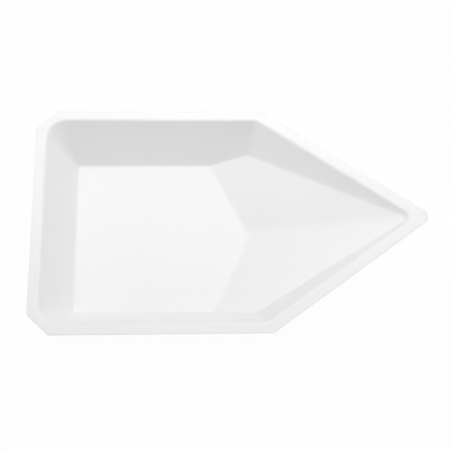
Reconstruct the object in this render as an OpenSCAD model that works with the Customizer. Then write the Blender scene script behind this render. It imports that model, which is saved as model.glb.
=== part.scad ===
// Weighing boat with a pouring tip: one thin plastic sheet, heat-formed into a shallow
// tray. A flat floor, leaning walls, a flat rim all round, and a ramp in two facets that
// rises from the floor to the tip. The tip points along +X. The underside of the floor
// is at Z = 0, and the origin is below the middle of the overall outline.

/* [Overall] */
// Overall length, from the back edge to the blunt tip
length = 140; // [120:1:170]
// Overall width across the rim
width = 88; // [72:1:108]
// Depth of the hollow, from the top of the rim to the top of the floor
depth = 15.6; // [11:0.1:22]
// Thickness of the sheet
sheet = 0.4; // [0.25:0.05:0.8]

/* [Rim] */
// Width of the flat rim along the back and the two sides
rim_w = 3.6; // [2.5:0.1:6]
// Width of the flat rim along the two pouring edges
lip_w = 4.2; // [2.5:0.1:6]
// Legs of the straight cut across each back corner
corner_cut = 7.4; // [4:0.1:10]
// Width of the blunt tip
tip_w = 3.3; // [2.4:0.1:6]
// Radius that softens the corners of the cut edge
edge_r = 1.4; // [0.5:0.1:1.8]
// Radius of the bend from the rim down into the walls
rim_bend = 1.6; // [0.9:0.1:2]

/* [Walls] */
// Straight length of each side, from the back edge to the shoulder
side_l = 82.5; // [70:0.5:94]
// Distance that each wall leans inwards between rim and floor
wall_run = 10.6; // [8:0.1:14]
// Corner radius of the hollow under the rim at the two back corners
corner_r = 8; // [4:0.1:10]
// Corner radius of the hollow under the rim at each shoulder
shoulder_r = 3; // [2:0.1:8]
// Corner radius of the hollow under the rim at the tip
tip_r = 2.6; // [1.2:0.1:3.2]
// Radius of the bend from the walls into the floor
floor_bend = 1.6; // [0.6:0.1:1.8]

/* [Pouring ramp] */
// Distance from the shoulder back to the foot of the ramp beside the side walls
ramp_start = 19.4; // [15:0.1:30]
// Distance that the foot of the ramp lies further forward on the centre line
ramp_point = 13.8; // [0:0.2:20]
// Depth that is left between the rim and the top of the ramp
lip_depth = 1.3; // [1:0.1:3]
// Radius that softens the foot of the ramp on the centre line
ramp_bend = 9; // [3:0.5:12]

/* [Hidden] */
arc_steps = 10;
bend_steps = 4;
ball_sides = 32;
slab = 0.01;

back_x = -length / 2;
rim_z = depth + sheet;
wall_slope = atan(depth / wall_run);

// Outer corner where a side meets its pouring edge, and the corner of the blunt tip
shoulder = [back_x + side_l, width / 2];
tip = [length / 2, tip_w / 2];
// Direction in which the pouring edge faces
tip_angle = atan2(tip.x - shoulder.x, shoulder.y - tip.y);
tip_normal = [cos(tip_angle), sin(tip_angle)];
// Distance from the origin to the line where the pouring wall meets the rim
tip_reach = tip_normal * shoulder - lip_w;

// A plane that bounds the hollow: its outward unit normal and its distance from the origin
function plane(normal, point) =
    let (unit = normal / norm(normal)) [unit, unit * point];
// A wall that faces the given way and passes through the given point of the rim's top
function wall(facing, point) =
    plane([facing.x * depth, facing.y * depth, -wall_run], [point.x, point.y, rim_z]);
function moved_in(p, distance) = [p[0], p[1] - distance];
// The point where three planes meet
function meet(a, b, c) =
    (a[1] * cross(b[0], c[0]) + b[1] * cross(c[0], a[0]) + c[1] * cross(a[0], b[0]))
    / (a[0] * cross(b[0], c[0]));

floor_plane = plane([0, 0, -1], [0, 0, sheet]);
back_wall = wall([-1, 0], [back_x + rim_w, 0]);
side_wall = wall([0, 1], [0, width / 2 - rim_w]);
tip_wall = wall(tip_normal, tip_normal * tip_reach);
middle = plane([0, 1, 0], [0, 0, 0]);

// The ramp's facet on the +Y side, through its two feet and its top at the tip
ramp_foot = [shoulder.x - ramp_start, width / 2 - rim_w - wall_run, sheet];
ramp_heel = [ramp_foot.x + ramp_point, 0, sheet];
ramp_top = [(tip_reach - wall_run * lip_depth / depth) / tip_normal.x, 0, rim_z - lip_depth];
ramp = plane(cross(ramp_top - ramp_foot, ramp_heel - ramp_foot), ramp_foot);

// Each lower corner of the hollow: the place of the ball that rounds it, and its radius
function corner(a, b, c, r) = [meet(moved_in(a, r), moved_in(b, r), moved_in(c, r)), r];
function middle_corner(a, b, r) = [meet(moved_in(a, r), moved_in(b, r), middle), r];
middle_corners = [
    middle_corner(floor_plane, ramp, ramp_bend),
    middle_corner(tip_wall, ramp, tip_r),
];
side_corners = [
    corner(floor_plane, back_wall, side_wall, floor_bend),
    corner(floor_plane, side_wall, ramp, floor_bend),
    corner(side_wall, tip_wall, ramp, floor_bend),
];

// Centres of the arcs in the rim's inner outline
back_arc = [back_x + rim_w + corner_r, width / 2 - rim_w - corner_r];
shoulder_y = width / 2 - rim_w - shoulder_r;
shoulder_arc = [(tip_reach - shoulder_r - tip_normal.y * shoulder_y) / tip_normal.x, shoulder_y];
tip_arc = [(tip_reach - tip_r) / tip_normal.x, 0];

function across(p) = [p.x, -p.y];
function arc(centre, r, start, end) =
    [for (k = [0:arc_steps]) let (a = start + (end - start) * k / arc_steps)
        centre + r * [cos(a), sin(a)]];
// Outline of the hollow at the rim's top, moved outwards by a distance
function hollow_outline(outwards) = concat(
    arc(tip_arc, tip_r + outwards, -tip_angle, tip_angle),
    arc(shoulder_arc, shoulder_r + outwards, tip_angle, 90),
    arc(back_arc, corner_r + outwards, 90, 180),
    arc(across(back_arc), corner_r + outwards, 180, 270),
    arc(across(shoulder_arc), shoulder_r + outwards, 270, 360 - tip_angle));

// The rim bend's section is an arc below the rim: at an angle of 0 it meets the flat rim,
// and at the wall's slope it meets the wall
function bend_outwards(r, angle) = rim_bend * tan(wall_slope / 2) - r * sin(angle);
function bend_z(r, angle) = rim_z - rim_bend + r * cos(angle);

module ball(r) {
    quarter = ball_sides / 4;
    rotate_extrude($fn = ball_sides)
        polygon([for (k = [-quarter:quarter]) r * [cos(90 * k / quarter), sin(90 * k / quarter)]]);
}

// A solid through a pile of like outlines, each at its own height, lowest first
module pile(outlines, heights) {
    count = len(outlines[0]);
    top = len(outlines) - 1;
    polyhedron(
        [for (j = [0:top]) for (p = outlines[j]) [p.x, p.y, heights[j]]],
        concat(
            [[for (k = [0:count - 1]) k]],
            [[for (k = [count - 1:-1:0]) top * count + k]],
            [for (j = [0:top - 1]) for (k = [0:count - 1]) let (next = (k + 1) % count)
                [j * count + k, (j + 1) * count + k, (j + 1) * count + next, j * count + next]]));
}

// The space inside the rim bend, up to a given height. r is the bend's own radius
module bend_space(r, top_z) {
    angles = [for (k = [0:bend_steps]) wall_slope * (1 - k / bend_steps)];
    outlines = [for (a = angles) hollow_outline(bend_outwards(r, a))];
    heights = [for (a = angles) bend_z(r, a)];
    pile(concat(outlines, [hollow_outline(bend_outwards(r, 0))]), concat(heights, [top_z]));
}

// The space inside the walls, floor and ramp, grown outwards by the given thickness
module basin(grown) {
    r = rim_bend - grown;
    hull() {
        translate([0, 0, bend_z(r, wall_slope)])
            linear_extrude(slab) polygon(hollow_outline(bend_outwards(r, wall_slope)));
        for (c = middle_corners) translate(c[0]) ball(c[1] + grown);
        for (c = side_corners, s = [1, -1]) translate([c[0].x, s * c[0].y, c[0].z]) ball(c[1] + grown);
    }
}

// The flat rim's cut outline, as a plate without its hole
module rim_plate() {
    translate([0, 0, rim_z - sheet]) linear_extrude(sheet)
        offset(r = edge_r, $fn = 48) offset(delta = -edge_r) polygon([
            tip, shoulder, [back_x + corner_cut, width / 2], [back_x, width / 2 - corner_cut],
            [back_x, corner_cut - width / 2], [back_x + corner_cut, -width / 2],
            across(shoulder), across(tip)]);
}

module dish() {
    color("white") difference() {
        union() {
            rim_plate();
            bend_space(rim_bend - sheet, rim_z - sheet / 2);
            basin(sheet);
        }
        bend_space(rim_bend, rim_z + 2 * ramp_bend);
        basin(0);
    }
}

dish();
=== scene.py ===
# %% [markdown]
# # A weighing boat with a pouring tip
# The real thing is one sheet of white polystyrene, less than half a millimetre thick. It was
# warmed, drawn into a mould and cut out along its rim. So it has no parts: there is a flat
# floor, leaning walls, a flat rim, and a ramp in two facets that rises to the tip.
# The work here is to make one thin closed shell whose bends are as crisp or as soft as the
# mould made them, and then to light it, because a white dish shows its shape by light alone.

# %% Load the measured model
import math
import bpy
import numpy as np
from mathutils import Matrix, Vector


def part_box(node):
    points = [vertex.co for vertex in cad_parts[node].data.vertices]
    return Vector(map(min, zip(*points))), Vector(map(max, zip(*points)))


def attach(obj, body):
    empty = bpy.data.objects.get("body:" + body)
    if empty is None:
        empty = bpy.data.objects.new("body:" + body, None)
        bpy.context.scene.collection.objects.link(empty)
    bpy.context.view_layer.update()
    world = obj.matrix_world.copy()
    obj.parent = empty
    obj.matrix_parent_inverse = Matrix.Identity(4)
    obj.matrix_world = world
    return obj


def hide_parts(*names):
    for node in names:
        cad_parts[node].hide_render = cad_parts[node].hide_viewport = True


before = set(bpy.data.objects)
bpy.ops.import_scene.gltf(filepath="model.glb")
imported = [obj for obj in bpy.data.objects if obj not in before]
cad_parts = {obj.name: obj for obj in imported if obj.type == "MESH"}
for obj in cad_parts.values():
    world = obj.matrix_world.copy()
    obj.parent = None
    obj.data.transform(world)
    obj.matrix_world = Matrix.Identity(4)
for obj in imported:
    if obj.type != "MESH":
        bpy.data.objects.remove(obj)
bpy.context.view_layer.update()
low, high = (np.array(corner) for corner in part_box("dish"))
print("dish, mm:", np.round((high - low) * 1000, 2))

# %% [markdown]
# ## The sizes of the sheet
# The overall box comes from the measured model. The sizes inside it are the mould's own, in
# metres: how wide the rim is, how far the walls lean in, and how tightly each bend is made.

# %% Sizes
MM = 0.001
sheet = 0.4 * MM
rim_w, lip_w = 3.6 * MM, 4.2 * MM
corner_cut, tip_w = 7.4 * MM, 3.3 * MM
side_l, wall_run = 82.5 * MM, 10.6 * MM
ramp_start, ramp_point, lip_depth = 19.4 * MM, 13.8 * MM, 1.3 * MM
corner_r, shoulder_r, tip_r = 8 * MM, 3 * MM, 2.6 * MM
rim_bend, floor_bend, ramp_bend, edge_r = 1.6 * MM, 1.6 * MM, 9 * MM, 1.4 * MM

back_x, front_x, half_w = low[0], high[0], high[1]
floor_z, rim_z = low[2] + sheet, high[2]
depth = rim_z - floor_z
wall_slope = math.atan2(depth, wall_run)
print("walls lean at", round(math.degrees(wall_slope), 1), "degrees")

# %% [markdown]
# ## Where the flat faces meet
# Every face of the dish is flat, so its corners are the points where three planes meet, and a
# linear solve finds each one. The pouring edge faces outwards at `tip_angle`. Only the side
# with Y above 0 is worked out, because the other one is its mirror image.

# %% Planes and corners
shoulder = np.array([back_x + side_l, half_w])
blunt = np.array([front_x, tip_w / 2])
tip_angle = math.atan2(blunt[0] - shoulder[0], shoulder[1] - blunt[1])
tip_normal = np.array([math.cos(tip_angle), math.sin(tip_angle)])
tip_reach = tip_normal @ shoulder - lip_w


def length(v):
    """Each vector's length, in a last axis of one number."""
    return np.linalg.norm(v, axis=-1, keepdims=True)


def unit(v):
    """Each vector divided by its own length."""
    return v / length(v)


def plane(normal, point):
    """A plane as its unit normal n and its distance n . p from the origin."""
    n = unit(np.array(normal, float))
    return n, n @ np.array(point)


def meet(*planes):
    """The one point p where n . p equals the distance on all three planes."""
    return np.linalg.solve([n for n, _ in planes], [d for _, d in planes])


def wall(facing, point):
    """A wall that faces outwards and leans by wall_run over the depth, through a rim point."""
    return plane([facing[0] * depth, facing[1] * depth, -wall_run], [*point, rim_z])


floor_y = half_w - rim_w - wall_run
ramp_foot = np.array([shoulder[0] - ramp_start, floor_y, floor_z])
ramp_heel = np.array([ramp_foot[0] + ramp_point, 0, floor_z])
ramp_top = np.array(
    [(tip_reach - wall_run * lip_depth / depth) / tip_normal[0], 0, rim_z - lip_depth])
ramp = plane(np.cross(ramp_top - ramp_foot, ramp_heel - ramp_foot), ramp_foot)
side_wall, tip_wall = wall([0, 1], [0, half_w - rim_w]), wall(tip_normal, tip_normal * tip_reach)
wall_corner = meet(side_wall, tip_wall, ramp)
print("wall corner, mm:", np.round(wall_corner / MM, 2))

# %% [markdown]
# ## Four loops round the dish
# A profile is carried round the dish: from the middle of the floor, over the foot of the ramp,
# up the wall, over the rim and out to the cut edge. Where it bends, it passes through four
# loops. Each loop has ten stations. Five are on the +Y side, in anticlockwise order: one at the
# tip, the shoulder, the foot of the ramp, and two at the back corner. The other five are their
# mirror images. With two stations each, the tip and the back corners can be cut off straight in
# the cut edge, and be one round corner in the hollow, as two arcs of half the turn each. A true
# arc, as a rational curve, needs three points only.

# %% Arcs
def across(point):
    """The mirror image of points on the +Y side."""
    return np.array(point, float) * [1, -1, 1]


def turn(start, corner, end, t):
    """A circle's arc from start a to end c about a corner b with two equal legs, as the rational
    curve (s s a + 2 w s t b + t t c) / (s s + 2 w s t + t t), with s = 1 - t. The weight w is
    the cosine of half the turn, which is the chord's length divided by that of the two legs."""
    w = length(end - start) / (2 * length(corner - start))
    s = 1 - t
    return (s * s * start + 2 * w * s * t * corner + t * t * end) / (s * s + 2 * w * s * t + t * t)


# %% Samples round a loop
# Points on the arc at each station, and on the straight stretch between it and the next one
corner_samples = np.array([10, 10, 8, 14, 14, 14, 14, 8, 10, 10])
side_samples = np.array([34, 12, 26, 1, 34, 1, 26, 12, 34, 1])


def spaced(counts, inside):
    """For each of the stretches, its number and its own fractions from 0 to 1. With inside, the
    two ends are left out."""
    at = np.repeat(np.arange(len(counts)), counts)
    first = np.repeat(np.cumsum(counts) - counts, counts)
    step, total = np.arange(counts.sum()) - first, np.repeat(counts, counts)
    return at, ((step + 1) / (total + 1) if inside else step / (total - 1))[:, None]


corner_at, corner_t = spaced(corner_samples, False)
side_at, side_t = spaced(side_samples, True)
loop_order = np.argsort(np.concatenate([corner_at * 2, side_at * 2 + 1]), kind="stable")
print("points round a loop:", len(loop_order))

# %% Loops
def loop(side, side_legs):
    """A closed loop through the five stations of the +Y side and their mirror images. Each
    corner is turned on an arc whose legs have the given length, and the stretches between the
    arcs are straight."""
    points = np.concatenate([side, across(side[::-1])])
    legs = np.array([*side_legs, *side_legs[::-1]])[:, None]
    before, after = unit(np.roll(points, 1, 0) - points), unit(np.roll(points, -1, 0) - points)
    starts, ends = points + before * legs, points + after * legs
    corners = turn(starts[corner_at], points[corner_at], ends[corner_at], corner_t)
    sides = ends[side_at] * (1 - side_t) + np.roll(starts, -1, 0)[side_at] * side_t
    return np.concatenate([corners, sides])[loop_order]


def leg(radius, angle):
    """How far from a corner an arc starts that has this radius and turns by this angle: the
    radius times the tangent of half the angle."""
    return radius * math.tan(angle / 2)


def halved(before, corner, after, legs):
    """Two stations and the legs of both, for an arc that is shared out between them, half a turn
    each. The stations lie on the arc's own legs, legs (1 - tan(turn / 4) / tan(turn / 2)) away
    from the corner. The two halves are a tenth short, so that a bit of flat lies between them."""
    back, on = unit(before - corner), unit(after - corner)
    angle = math.acos(-back @ on)
    short_legs = legs * math.tan(angle / 4) / math.tan(angle / 2)
    arc_share = 0.9
    out = legs - short_legs
    return corner + back * out, corner + on * out, arc_share * short_legs


# %% [markdown]
# ## The loops of the hollow
# Three of the loops belong to the hollow: the rim's inner edge, the foot of the walls and, within
# the floor, the heel of the ramp. The heel follows the crease between floor and ramp as far as
# that runs. Beside the walls there is no crease, so there the loop lies a few millimetres inside
# the floor's own outline, which keeps the grid's faces even.

# %% The rim's inner edge
def on_rim(x, y):
    """A point on the rim's top."""
    return np.array([x, y, rim_z])


quarter = math.pi / 2
shoulder_turn, tip_turn = quarter - tip_angle, 2 * tip_angle
inner_y = half_w - rim_w
rim_shoulder = on_rim((tip_reach - tip_normal[1] * inner_y) / tip_normal[0], inner_y)
rim_point, rim_foot = on_rim(tip_reach / tip_normal[0], 0), on_rim(ramp_foot[0], inner_y)
rim_corner = on_rim(back_x + rim_w, inner_y)
tip_leg = leg(tip_r, tip_turn)
hardly_turned = MM  # the leg at a station where the loop runs on nearly straight
_, rim_tip, rim_tip_leg = halved(across(rim_shoulder), rim_point, rim_shoulder, tip_leg)
rim_side, rim_back, rim_leg = halved(
    rim_foot, rim_corner, across(rim_corner), leg(corner_r, quarter))
rim_loop = loop(
    [rim_tip, rim_shoulder, rim_foot, rim_side, rim_back],
    [rim_tip_leg, leg(shoulder_r, shoulder_turn), hardly_turned, rim_leg, rim_leg])
print("rim's inner edge, mm:", np.round((rim_loop.max(0) - rim_loop.min(0)) / MM, 2))

# %% The foot of the walls
foot_leg = 1.5 * MM
floor_corner = rim_corner + [wall_run, floor_y - inner_y, floor_z - rim_z]
floor_side, floor_back, floor_leg = halved(
    ramp_foot, floor_corner, across(floor_corner), floor_bend)
_, foot_tip, foot_tip_leg = halved(across(wall_corner), ramp_top, wall_corner, tip_leg)
foot_loop = loop(
    [foot_tip, wall_corner, ramp_foot, floor_side, floor_back],
    [foot_tip_leg, floor_bend, foot_leg, floor_leg, floor_leg])
print("foot of the walls, mm:", np.round((foot_loop.max(0) - foot_loop.min(0)) / MM, 2))

# %% The heel of the ramp
# One station lies a quarter of the way along the crease, one just inside the foot of the ramp
along_crease, foot_gap = 0.25, np.array([-0.4 * MM, -0.7 * MM, 0])
inset = np.array([3 * MM, -3 * MM, 0])
centre_leg, corner_leg = 4 * MM, 0.3 * MM
heel_side = ramp_foot + (ramp_heel - ramp_foot) * along_crease
_, heel_tip, heel_tip_leg = halved(across(heel_side), ramp_heel, heel_side, centre_leg)
heel_loop = loop(
    [heel_tip, heel_side, ramp_foot + foot_gap, floor_side + inset, floor_back + inset],
    [heel_tip_leg, hardly_turned, corner_leg, corner_leg, corner_leg])
print("heel loop, mm:", np.round((heel_loop.max(0) - heel_loop.min(0)) / MM, 2))

# %% [markdown]
# ## The cut edge
# The outline of the sheet is cut off straight at its tip and at its two back corners. Its
# corners are the punch's, so they're much tighter than those of the hollow.

# %% The outline
cut_leg = leg(edge_r, quarter / 2)
edge_loop = loop(
    [on_rim(*blunt), on_rim(*shoulder), on_rim(ramp_foot[0], half_w),
     on_rim(back_x + corner_cut, half_w), on_rim(back_x, half_w - corner_cut)],
    [leg(edge_r, tip_angle), leg(edge_r, shoulder_turn), hardly_turned, cut_leg, cut_leg])
along_edge = unit(np.roll(edge_loop, -1, 0) - np.roll(edge_loop, 1, 0))
edge_outwards = np.stack([along_edge[:, 1], -along_edge[:, 0], along_edge[:, 2]], axis=1)
edge_soft = 0.08 * MM
flat_end = edge_loop - edge_outwards * edge_soft
print("outline, mm:", np.round((edge_loop.max(0) - edge_loop.min(0)) / MM, 2))

# %% [markdown]
# ## The profile
# At each place round the dish the profile is a line through the four loops, rounded where it
# bends. Its bends are arcs too, so the same `turn` makes them. The result is a grid of points:
# one row for each place round the dish, one column for each step along the profile.

# %% Bends in the profile
def bend(before, corner, after, reach, columns):
    """A bend at a corner of the profile, with its start and end. It starts and ends at most reach
    away from the corner and at most 0.45 of the way to the corner's neighbours."""
    back, on = before - corner, after - corner
    most = 0.45
    legs = np.minimum(reach, most * np.minimum(length(back), length(on)))
    start, end = corner + unit(back) * legs, corner + unit(on) * legs
    t = np.linspace(0, 1, columns)[None, :, None]
    return start, end, turn(start[:, None], corner[:, None], end[:, None], t)


def straight(start, end, columns):
    """Points spaced evenly between two columns, without the columns themselves."""
    t = (np.arange(columns) + 1)[None, :, None] / (columns + 1)
    return start[:, None] * (1 - t) + end[:, None] * t


# %% The upper surface
# Columns on the floor, in the heel of the ramp, on the ramp, at the foot of the wall, on the
# wall, in the rim's bend and on the flat of the rim
floor_columns, heel_columns, ramp_columns, foot_columns = 14, 7, 18, 9
wall_columns, bend_columns, flat_columns = 14, 13, 6
middle = np.array([(floor_corner[0] + ramp_heel[0]) / 2, 0, floor_z])
centre = np.repeat(middle[None], len(rim_loop), 0)
ramp_slope = math.acos(ramp[0][2] * -1)
heel_start, heel_end, heel_bend = bend(
    centre, heel_loop, foot_loop, leg(ramp_bend, ramp_slope), heel_columns)
foot_start, foot_end, foot_bend = bend(
    heel_loop, foot_loop, rim_loop, leg(floor_bend, wall_slope), foot_columns)
rim_start, rim_end, rim_round = bend(
    foot_loop, rim_loop, flat_end, leg(rim_bend, wall_slope), bend_columns)
upper = np.concatenate([
    straight(centre, heel_start, floor_columns), heel_bend,
    straight(heel_end, foot_start, ramp_columns), foot_bend,
    straight(foot_end, rim_start, wall_columns), rim_round,
    straight(rim_end, flat_end, flat_columns), flat_end[:, None],
], axis=1)
print("grid round the dish by along the profile:", upper.shape[:2])

# %% [markdown]
# ## From a surface to a sheet
# The lower surface is the upper one moved down along its normals by the sheet's thickness, so
# the sheet is equally thick on the flat and in the bends. The normal is the cross product of
# the grid's two directions. Between the two runs the cut edge. The punch leaves no knife edge,
# so its two borders are rounded a little, and catch the light as the real ones do.

# %% Normals
def through(before, after):
    """The direction, at the middle one of three points, of the parabola through them. Each of
    the two steps between them counts by the other one's length over its own."""
    ratio = length(after) / length(before)
    return before * ratio + after / ratio


def grid_normals(grid):
    """Unit normals of a grid whose rows close into a loop: the cross product of the direction
    outwards along the profile and the direction round the dish."""
    steps = np.roll(grid, -1, 0) - grid
    along = np.diff(grid, axis=1)
    first, last = along[:, :1], along[:, -1:]
    round_dish = through(np.roll(steps, 1, 0), steps)
    outwards = through(np.concatenate([first, along], 1), np.concatenate([along, last], 1))
    return unit(np.cross(outwards, round_dish))


# %% The lower surface and the cut edge
lower = upper - grid_normals(upper) * sheet
up = np.array([0, 0, 1])
round_steps = 4
quarter_turn = (np.arange(round_steps) + 1)[:, None, None] / round_steps
upper_round = turn(flat_end, edge_loop, edge_loop - up * edge_soft, quarter_turn)
lower_round = turn(edge_loop - up * (sheet - edge_soft), edge_loop - up * sheet,
                   flat_end - up * sheet, quarter_turn - quarter_turn[0])
cut_edge = np.concatenate([upper_round, lower_round]).swapaxes(0, 1)
shell = np.concatenate([upper, cut_edge, lower[:, ::-1]], axis=1)
rows, columns = shell.shape[:2]
print("cut edge, columns:", cut_edge.shape[1], "of", columns)

# %% [markdown]
# ## Painted shade on the walls and the ramp
# Two numbers at each point go to the material. The first is painted shade, which greys the
# colour: none on the rim and hardly any on the floor, more on the walls, growing towards their
# top, and most on the ramp. `trimmed` marks the edge that the punch cut.

# %% Where the ramp is
def ramp_share_of(points):
    """0 on the floor and 1 on the ramp. It grows with the height of the ramp's plane above the
    floor, (distance - nx x - ny |y|) / nz - floor_z, over a strip along the foot of the ramp."""
    normal, distance = ramp
    x, y = points[..., 0], np.abs(points[..., 1])
    rise = (distance - normal[0] * x - normal[1] * y) / normal[2] - floor_z
    strip_low, strip_height = -0.12 * MM, 0.45 * MM
    return np.clip((rise - strip_low) / strip_height, 0, 1)


# %% Painted shade and trimming
inside, rim_top = floor_columns + heel_columns + ramp_columns, flat_columns + 1
wall_foot, wall_top = 0.15, 0.6
on_ramp = np.concatenate([
    np.ones(inside), np.linspace(1, 0, foot_columns),
    np.zeros(wall_columns + bend_columns + rim_top)])
on_wall = np.concatenate([
    np.zeros(inside), np.linspace(0, wall_foot, foot_columns),
    np.linspace(wall_foot, wall_top, wall_columns), np.linspace(wall_top, 0, bend_columns),
    np.zeros(rim_top)])
# Painted shade: 0 on the rim and the floor, 1 on the ramp, and on the walls growing towards their
# top
painted_shade = ramp_share_of(upper) * on_ramp + on_wall
painted_shade_shell = np.concatenate([painted_shade, np.zeros(cut_edge.shape[:2]), painted_shade[:, ::-1]], axis=1)
trimmed_shell = np.zeros((rows, columns))
trimmed_shell[:, upper.shape[1]:-lower.shape[1]] = 1
print("drawn, least and most:", painted_shade.min(), round(painted_shade.max(), 2))

# %% [markdown]
# ## The mesh
# The two surfaces and the edge are one long grid: out along the top, down the cut and back along
# the underside. It closes round the dish by itself, and one point in the middle of the floor, on
# the top and on the underside, closes each of its two ends.

# %% One closed shell
def quads(first, second, third, fourth):
    """Four-cornered faces from four arrays of point numbers, one array for each corner."""
    return np.stack([a.ravel() for a in (first, second, third, fourth)], axis=1)


index = np.arange(rows * columns).reshape(rows, columns)
after = np.roll(index, -1, 0)
upper_pole, lower_pole = rows * columns, rows * columns + 1
strips = quads(index[:, :-1], index[:, 1:], after[:, 1:], after[:, :-1])
upper_fan = np.stack([np.full(rows, upper_pole), index[:, 0], after[:, 0]], axis=1)
lower_fan = np.stack([np.full(rows, lower_pole), after[:, -1], index[:, -1]], axis=1)
points = np.concatenate([shell.reshape(-1, 3), [middle, middle - up * sheet]])

# %% The dish
dish_mesh = bpy.data.meshes.new("weighing_boat")
dish_mesh.from_pydata(points, [], strips.tolist() + upper_fan.tolist() + lower_fan.tolist())
dish_mesh.shade_smooth()
# The painted shade and the cut edge go to the material as attributes
for name, values in (("painted_shade", painted_shade_shell), ("trimmed", trimmed_shell)):
    attribute = dish_mesh.attributes.new(name, "FLOAT", "POINT")
    attribute.data.foreach_set("value", np.append(values.ravel(), [0, 0]).astype(np.float32))
boat = bpy.data.objects.new("weighing_boat", dish_mesh)
bpy.context.scene.collection.objects.link(boat)
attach(boat, "root")
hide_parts("dish")
print("triangles:", sum(len(p.vertices) - 2 for p in dish_mesh.polygons))

# %% [markdown]
# ## Helpers for materials
# A colour is written as a web colour and turned to the linear values that Blender works in.

# %% Colours and nodes
def linear(web):
    """sRGB hex to linear red, green, blue and alpha."""
    srgb = np.array([int(web[i:i + 2], 16) for i in (1, 3, 5)]) / 255
    values = np.where(srgb <= 0.04045, srgb / 12.92, ((srgb + 0.055) / 1.055) ** 2.4)
    return (*values, 1)


def add_node(tree, kind, settings=(), numbered=(), **named):
    """Adds a node with its settings. Its sockets are given in order or by name: a value that is
    another node's socket is linked, and any other is set."""
    node = tree.nodes.new(kind)
    for name, value in dict(settings).items():
        setattr(node, name, value)
    sockets = [(node.inputs[at], value) for at, value in enumerate(numbered)]
    sockets += [(node.inputs[name.replace("_", " ")], value) for name, value in named.items()]
    for socket, value in sockets:
        if isinstance(value, bpy.types.NodeSocket):
            tree.links.new(value, socket)
        else:
            socket.default_value = value
    return node


def new_material(name):
    """A material with an empty node tree, and that tree."""
    material = bpy.data.materials.new(name)
    material.use_nodes = True
    material.node_tree.nodes.clear()
    return material, material.node_tree


# %% [markdown]
# ## Heat-formed polystyrene sheet
# High-impact polystyrene is white all through. The mould leaves it a satin skin: it mirrors
# nothing sharply, but a flat face that turns towards a lamp grows a little brighter than the
# rest. Light also goes a fraction of a millimetre into it, which softens the bends. Painted
# shade makes the colour a little greyer on the ramp and the walls, and where the sheet was
# punched it is matt. The mould is polished, so grain and waves are low, and the eye finds them
# only in a slanting light.

# %% Tone and gloss
styrene, tree = new_material("formed_polystyrene_sheet")
place = add_node(tree, "ShaderNodeTexCoord").outputs["Object"]
# Painted shade, which greys the colour on the ramp and on the walls
painted_shade_fac = add_node(tree, "ShaderNodeAttribute", {"attribute_name": "painted_shade"}).outputs["Fac"]
punched = add_node(tree, "ShaderNodeAttribute", {"attribute_name": "trimmed"}).outputs["Fac"]

# Painted shade: the lighter colour on the floor and the rim, the darker one on the ramp, and the
# walls between them, darker towards their top
tone = add_node(tree, "ShaderNodeValToRGB", Fac=painted_shade_fac)
tone.color_ramp.elements[0].color = linear("#F6F6F6")
tone.color_ramp.elements[1].color = linear("#F0F0F0")

# The gloss wanders over patches of 7 mm, as on a sheet that cools unevenly in its mould
satin_least, satin_most, matt_cut = 0.28, 0.36, 0.6
patches = add_node(tree, "ShaderNodeTexNoise", Vector=place, Scale=1 / (7 * MM), Detail=2.0)
satin = add_node(
    tree, "ShaderNodeMapRange", Value=patches.outputs["Fac"], To_Min=satin_least,
    To_Max=satin_most)
matt = add_node(tree, "ShaderNodeMapRange", Value=punched, To_Min=0.0, To_Max=matt_cut)
roughness = add_node(
    tree, "ShaderNodeMath", {"operation": "MAXIMUM"},
    [satin.outputs["Result"], matt.outputs["Result"]])
print("roughness: satin skin", satin_least, "to", satin_most, "and cut edge", matt_cut)

# %% Grain, waves and the shader
# Mould grain is 0.1 mm wide, too fine to show, so it is drawn 0.9 mm wide and 0.006 mm high.
# The waves are what a thin sheet does when it lets go of its mould: 28 mm long, 0.12 mm high.
grain = add_node(tree, "ShaderNodeTexNoise", Vector=place, Scale=1 / (0.9 * MM), Detail=3.0)
waves = add_node(tree, "ShaderNodeTexNoise", Vector=place, Scale=1 / (28 * MM), Detail=1.0)
grain_height = add_node(
    tree, "ShaderNodeMapRange", Value=grain.outputs["Fac"], To_Min=0.0, To_Max=0.006)
wave_height = add_node(
    tree, "ShaderNodeMapRange", Value=waves.outputs["Fac"], To_Min=0.0, To_Max=0.12)
height = add_node(
    tree, "ShaderNodeMath", {"operation": "ADD"},
    [grain_height.outputs["Result"], wave_height.outputs["Result"]])
relief = add_node(tree, "ShaderNodeBump", Height=height.outputs[0], Distance=MM)
skin = add_node(
    tree, "ShaderNodeBsdfPrincipled", Base_Color=tone.outputs["Color"],
    Roughness=roughness.outputs[0], Normal=relief.outputs["Normal"], IOR=1.59,
    Subsurface_Weight=0.2, Subsurface_Radius=(1, 1, 1), Subsurface_Scale=0.5 * MM)
add_node(tree, "ShaderNodeOutputMaterial", Surface=skin.outputs["BSDF"])
dish_mesh.materials.append(styrene)
print("nodes in the dish's material:", len(tree.nodes))

# %% [markdown]
# ## The floor
# A white dish on a white floor shows by its own shades alone. The floor is a matt white card,
# and the camera is to see it as nearly pure white without more light falling on the dish. So
# rays from the camera, and those that a glossy or clear surface sends on, find a card that
# glows at exactly 1, mixed with 3 parts in 100 of the lit card, which keeps the dish's faint
# shadow. The card lies a hair below the dish, because two faces in one plane let light through.

# %% The card
half, card_gap = 3.0, 0.05 * MM
card_z = low[2] - card_gap
card_mesh = bpy.data.meshes.new("studio_floor")
card_mesh.from_pydata(
    [(-half, -half, card_z), (half, -half, card_z), (half, half, card_z), (-half, half, card_z)],
    [], [(0, 1, 2, 3)])
studio_floor = bpy.data.objects.new("studio_floor", card_mesh)
bpy.context.scene.collection.objects.link(studio_floor)
print("floor, m:", 2 * half, "square")

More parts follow.
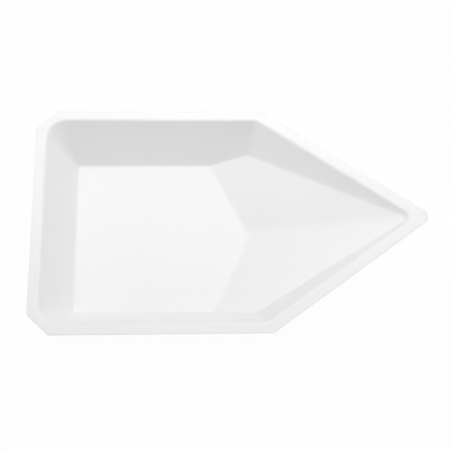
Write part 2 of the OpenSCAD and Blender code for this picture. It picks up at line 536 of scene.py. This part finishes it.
# %% The card's material
white_card, tree = new_material("white_card")
rays = add_node(tree, "ShaderNodeLightPath").outputs
glow_part = 0.97
seen = add_node(
    tree, "ShaderNodeMath", {"operation": "MAXIMUM"},
    [rays["Is Camera Ray"], rays["Is Glossy Ray"]])
passed_on = add_node(
    tree, "ShaderNodeMath", {"operation": "MAXIMUM"},
    [seen.outputs[0], rays["Is Transmission Ray"]])
glow_share = add_node(
    tree, "ShaderNodeMath", {"operation": "MULTIPLY"}, [passed_on.outputs[0], glow_part])
card = add_node(tree, "ShaderNodeBsdfDiffuse", Color=linear("#E8E8E8"))
glow = add_node(tree, "ShaderNodeEmission", Color=linear("#FFFFFF"), Strength=1.0)
mix = add_node(
    tree, "ShaderNodeMixShader", (), [glow_share.outputs[0], card.outputs[0], glow.outputs[0]])
add_node(tree, "ShaderNodeOutputMaterial", Surface=mix.outputs[0])
card_mesh.materials.append(white_card)
print("the camera sees", glow_part, "glow and", round(1 - glow_part, 2), "lit card")

# %% [markdown]
# ## The light
# Two long soft panels hang behind the dish, one above the other. The walls at the back turn away
# from them and are the darkest faces, and the level rim grows brighter towards the back. A lamp
# overhead, a little nearer to the front, lights the floor and the ramp. Two weak ones, beside
# the tip and in front on the left, keep the other walls apart in tone. A strip stands on the
# card on the right. It ends lower than the rim, so it leaves the hollow alone and lightens the
# cut edge beside the tip. The studio's white walls are a third of full white on all sides.
# Together they light a level face at about 1, at which a colour shows as written.

# %% The studio's walls
studio = bpy.data.worlds.new("studio")
bpy.context.scene.world = studio
studio.use_nodes = True
studio.node_tree.nodes.clear()
walls_give = 0.34
white_walls = add_node(
    studio.node_tree, "ShaderNodeBackground", Color=linear("#FFFFFF"), Strength=walls_give)
add_node(studio.node_tree, "ShaderNodeOutputWorld", Surface=white_walls.outputs[0])
print("the studio's walls give", walls_give, "of full white")

# %% Lamps
def looking(place, aim, roll=0):
    """Matrix of a lamp or camera at a place that looks at a point, turned by roll degrees. Its
    columns are the directions to the right, up and back, and the place."""
    back = unit(np.array(place, float) - aim)
    level = unit(np.cross([0, 0, 1], back))
    upright = np.cross(back, level)
    r = math.radians(roll)
    right = math.cos(r) * level + math.sin(r) * upright
    matrix = np.eye(4)
    matrix[:3] = np.stack([right, np.cross(back, right), back, place], axis=1)
    return Matrix(matrix)


def lamp(name, place, width, height, watts):
    """A soft light of that width and height that faces the middle of the dish."""
    data = bpy.data.lights.new(name, "AREA")
    data.shape, data.size, data.size_y, data.energy = "RECTANGLE", width, height, watts
    lamp_object = bpy.data.objects.new(name, data)
    lamp_object.matrix_world = looking(place, (0, 0, 10 * MM))
    bpy.context.scene.collection.objects.link(lamp_object)
    print(name, "stands", round(float(np.linalg.norm(place)), 2), "m away")


lamp("back_softbox", (0, 0.14, 0.24), 0.3, 0.12, 0.22)
lamp("low_panel", (0, 0.16, 0.12), 0.4, 0.12, 0.07)
lamp("overhead", (0, -0.09, 0.45), 0.2, 0.2, 0.598)
lamp("tip_side", (0.3, 0.15, 0.15), 0.2, 0.2, 0.086)
lamp("front_fill", (-0.5, -0.5, 0.3), 0.4, 0.4, 0.45)
lamp("low_strip", (0.28, -0.18, 0.008), 0.2, 0.012, 0.13)

# %% [markdown]
# ## The camera
# It looks down steeply, at 62 degrees, so that the hollow lies open, from in front and slightly
# left of the middle. It is rolled by nearly 7 degrees, which sets the back edge of the rim level.

# %% Camera
azimuth, elevation, distance, roll = math.radians(-7.84), math.radians(62.46), 0.377, 6.75
aim = np.array([-2.63 * MM, -3.33 * MM, rim_z])
sight = np.array([math.sin(azimuth) * math.cos(elevation),
                  -math.cos(azimuth) * math.cos(elevation), math.sin(elevation)])
camera_data = bpy.data.cameras.new("camera")
camera_data.sensor_width, camera_data.lens = 36, 85.92
camera = bpy.data.objects.new("camera", camera_data)
camera.matrix_world = looking(aim + sight * distance, aim, roll)
bpy.context.scene.collection.objects.link(camera)
bpy.context.scene.camera = camera
print("camera, m:", np.round(aim + sight * distance, 3))

# %% [markdown]
# ## Finish
# The view transform stays plain, so that a written colour is the colour seen.

# %% Finish
bpy.context.scene.view_settings.view_transform = "Standard"
bpy.context.view_layer.update()
